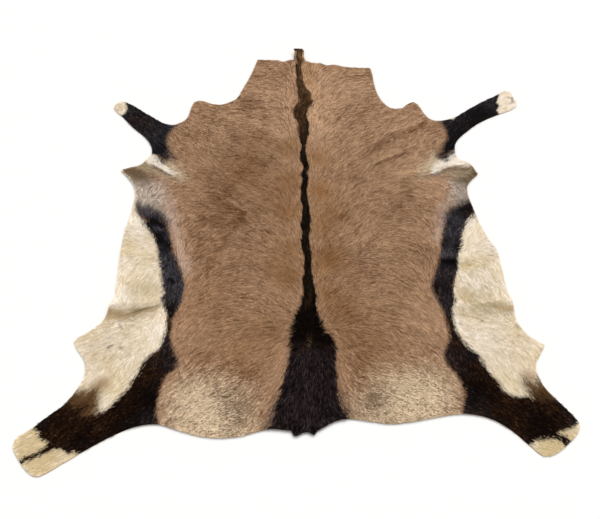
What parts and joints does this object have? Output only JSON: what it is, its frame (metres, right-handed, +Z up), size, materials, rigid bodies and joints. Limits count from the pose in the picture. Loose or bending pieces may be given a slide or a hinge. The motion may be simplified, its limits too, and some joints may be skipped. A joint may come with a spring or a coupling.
{
  "type": "oryx hide",
  "caption": "A whole tanned oryx hide with the hair on, opened flat as a floor rug: neck, legs, belly flaps and rump in one uneven sheet with low folds and a raised mane.",
  "frame": {"origin": "the floor under the middle of the hide's bounding box", "axes": "+Z up off the floor, the hair side; +Y towards the neck; +X towards the hide's right when it is seen from above with the neck away"},
  "size_m": [1.6456, 1.6666, 0.0325],
  "materials": {
    "coat": "short lying hair in brown, black and cream on tanned leather"
  },
  "bodies": {
    "root": {"hide": "coat"}
  },
  "joints": []
}
